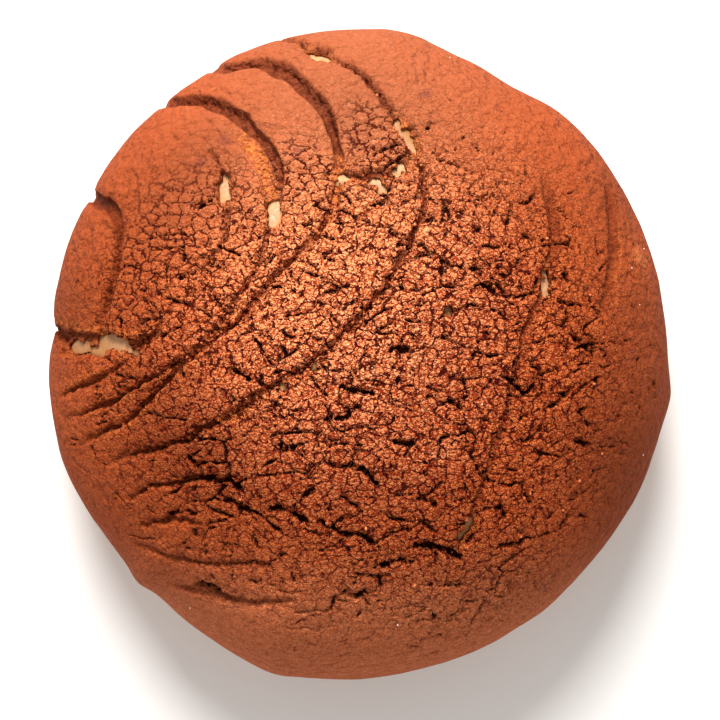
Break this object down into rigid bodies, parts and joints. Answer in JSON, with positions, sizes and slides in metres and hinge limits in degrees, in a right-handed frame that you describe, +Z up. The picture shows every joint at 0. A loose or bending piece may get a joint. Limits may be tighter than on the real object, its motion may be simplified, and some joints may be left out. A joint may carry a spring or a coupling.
{
  "type": "chocolate concha",
  "caption": "Round domed sweet bread bun with a flat foot, under a thin crackled cocoa sugar-paste shell scored with nested shell-pattern grooves.",
  "frame": {"origin": "on the floor, under the middle of the bun's bounding box", "axes": "+Z up; +X to the right and +Y to the top of the picture, which looks straight down"},
  "size_m": [0.1097, 0.1148, 0.048],
  "materials": {
    "bread": "baked sweet bread, golden brown on the outside and pale cream where the paste tore open",
    "cocoa_paste": "dry matt baked cocoa sugar paste, grainy and crackled, reddish brown"
  },
  "bodies": {
    "root": {"bread_bun": "bread", "chocolate_topping": "cocoa_paste"}
  },
  "joints": []
}
